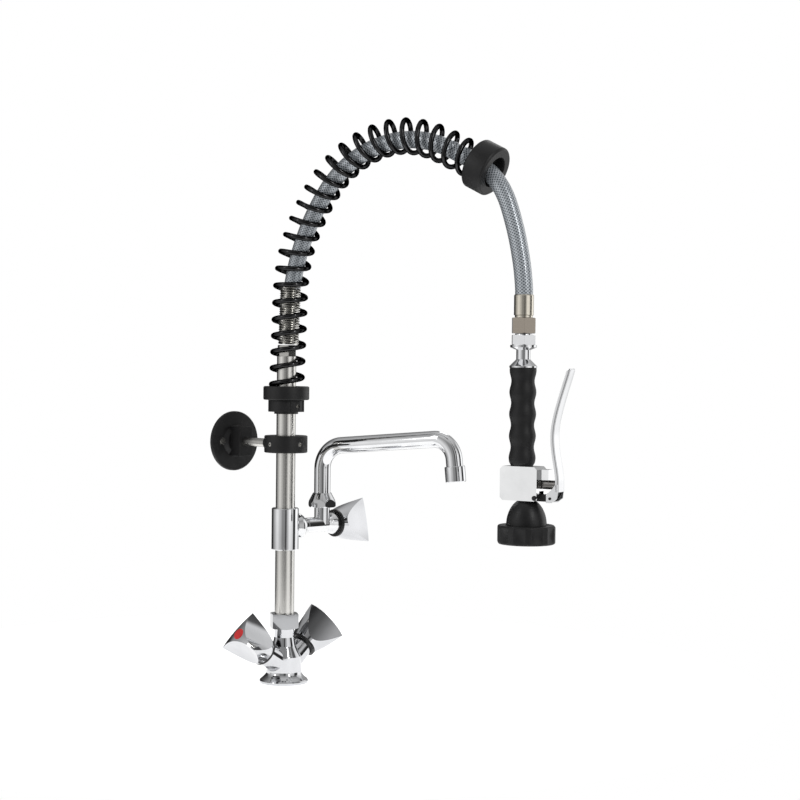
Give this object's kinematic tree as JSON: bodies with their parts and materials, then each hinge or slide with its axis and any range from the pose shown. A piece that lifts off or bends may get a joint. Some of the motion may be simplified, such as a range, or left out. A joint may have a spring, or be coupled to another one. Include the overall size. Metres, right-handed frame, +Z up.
{
  "type": "pre-rinse faucet",
  "caption": "Deck-mounted mixer with a tall riser, side faucet with a swing spout, wall bracket, spring-guided overhead hose and squeeze-lever spray valve.",
  "frame": {"origin": "centre of the mixer's round foot on the deck surface", "axes": "+Z up along the riser; the wall plate is toward +Y; the cold handle and the side faucet are toward +X"},
  "size_m": [0.1938, 0.4412, 0.6313],
  "materials": {
    "chrome": "polished chrome plate on brass",
    "steel": "satin drawn stainless tube",
    "brass": "turned brass with a dull nickel flash",
    "dark_nickel": "dark nickel on turned steel",
    "black_metal": "matte black powder coat",
    "black_spring": "glossy black coated spring wire",
    "black_plastic": "moulded black plastic",
    "grip_rubber": "matte black moulded rubber",
    "seal_rubber": "black rubber",
    "hose": "grey clear-coated braided hose",
    "red": "glossy red plastic",
    "blue": "glossy blue plastic"
  },
  "bodies": {
    "stand": {"deck_seal": "seal_rubber", "seals": "seal_rubber", "mixer_body": "chrome", "hot_headwork": "brass", "cold_headwork": "brass", "riser_nut": "chrome", "riser": "steel", "tee_sleeve": "chrome", "branch_boss": "chrome", "side_valve": "chrome", "side_headwork": "brass", "spout_nut": "chrome", "wall_plate": "black_metal", "wall_screws": "steel", "bracket_rod": "steel", "riser_clamp": "black_metal", "grub_screws": "steel", "spring_clamp": "black_metal", "hose_coupling": "steel"},
    "hot_tap": {"hot_spindle": "brass", "hot_handle": "chrome", "hot_ring": "black_plastic", "hot_index": "red", "hot_screw": "steel"},
    "cold_tap": {"cold_spindle": "brass", "cold_handle": "chrome", "cold_ring": "black_plastic", "cold_index": "blue", "cold_screw": "steel"},
    "side_tap": {"side_spindle": "brass", "side_handle": "chrome", "side_ring": "black_plastic", "side_index": "chrome", "side_screw": "steel"},
    "swing_spout": {"spout": "chrome", "aerator": "chrome"},
    "arch_base": {"spring_seat": "black_metal", "hose_sleeve": "steel", "spring_lower": "black_spring", "hose_lower": "hose"},
    "arch": {"spring_upper": "black_spring", "end_cap": "black_metal", "hose_upper": "hose"},
    "hose_end": {"hose_drop": "hose", "hose_ferrule": "brass", "swivel_nut": "dark_nickel"},
    "spray_valve": {"valve_nut": "chrome", "handle_tube": "chrome", "grip": "grip_rubber", "valve_block": "chrome", "rear_plug": "chrome", "return_spring": "steel", "lever_pin": "black_metal", "spray_dome": "black_plastic", "spray_face": "steel", "bumper": "grip_rubber"},
    "squeeze_lever": {"lever": "chrome", "lever_link": "black_plastic"},
    "valve_plunger": {"plunger": "dark_nickel"}
  },
  "joints": [
    {"name": "hot_turn", "type": "hinge", "parent": "stand", "child": "hot_tap", "pos_m": [0, 0, 0.018], "axis": [-0.8387, 0, 0.5446], "range_deg": [0, 90]},
    {"name": "cold_turn", "type": "hinge", "parent": "stand", "child": "cold_tap", "pos_m": [0, 0, 0.018], "axis": [0.7986, 0, 0.6018], "range_deg": [-90, 0]},
    {"name": "side_turn", "type": "hinge", "parent": "stand", "child": "side_tap", "pos_m": [0.0786, 0, 0.178], "axis": [1, 0, 0], "range_deg": [0, 90]},
    {"name": "spout_swivel", "type": "hinge", "parent": "stand", "child": "swing_spout", "pos_m": [0.057, 0, 0.2], "axis": [0, 0, 1], "range_deg": [-65, 95]},
    {"name": "arch_swivel", "type": "hinge", "parent": "stand", "child": "arch_base", "pos_m": [0, 0, 0.33], "axis": [0, 0, 1], "range_deg": [-90, 75]},
    {"name": "arch_flex", "type": "hinge", "parent": "arch_base", "child": "arch", "pos_m": [0.00761, -0.0284, 0.5219], "axis": [0.9659, 0.2588, 0], "range_deg": [-5, 12], "stiffness_Nm_per_rad": 28, "springref_deg": -5.83},
    {"name": "hose_swing", "type": "hinge", "parent": "arch", "child": "hose_end", "pos_m": [0.07105, -0.26515, 0.55], "axis": [-0.9659, -0.2588, 0], "range_deg": [-8, 25], "stiffness_Nm_per_rad": 1.5, "springref_deg": 7.8},
    {"name": "valve_swivel", "type": "hinge", "parent": "hose_end", "child": "spray_valve", "pos_m": [0.07765, -0.28978, 0.3996], "axis": [0, 0, 1], "continuous": true},
    {"name": "lever_press", "type": "hinge", "parent": "spray_valve", "child": "squeeze_lever", "pos_m": [0.08295, -0.30958, 0.227], "axis": [-0.9659, -0.2588, 0], "range_deg": [0, 12], "stiffness_Nm_per_rad": 4, "springref_deg": -5.73},
    {"name": "plunger_slide", "type": "slide", "parent": "spray_valve", "child": "valve_plunger", "axis": [-0.2588, 0.9659, 0], "range_m": [0, 0.0031]}
  ],
  "couplings": [
    {"joint": "plunger_slide", "follows": "lever_press", "m_per_rad": 0.0142}
  ]
}
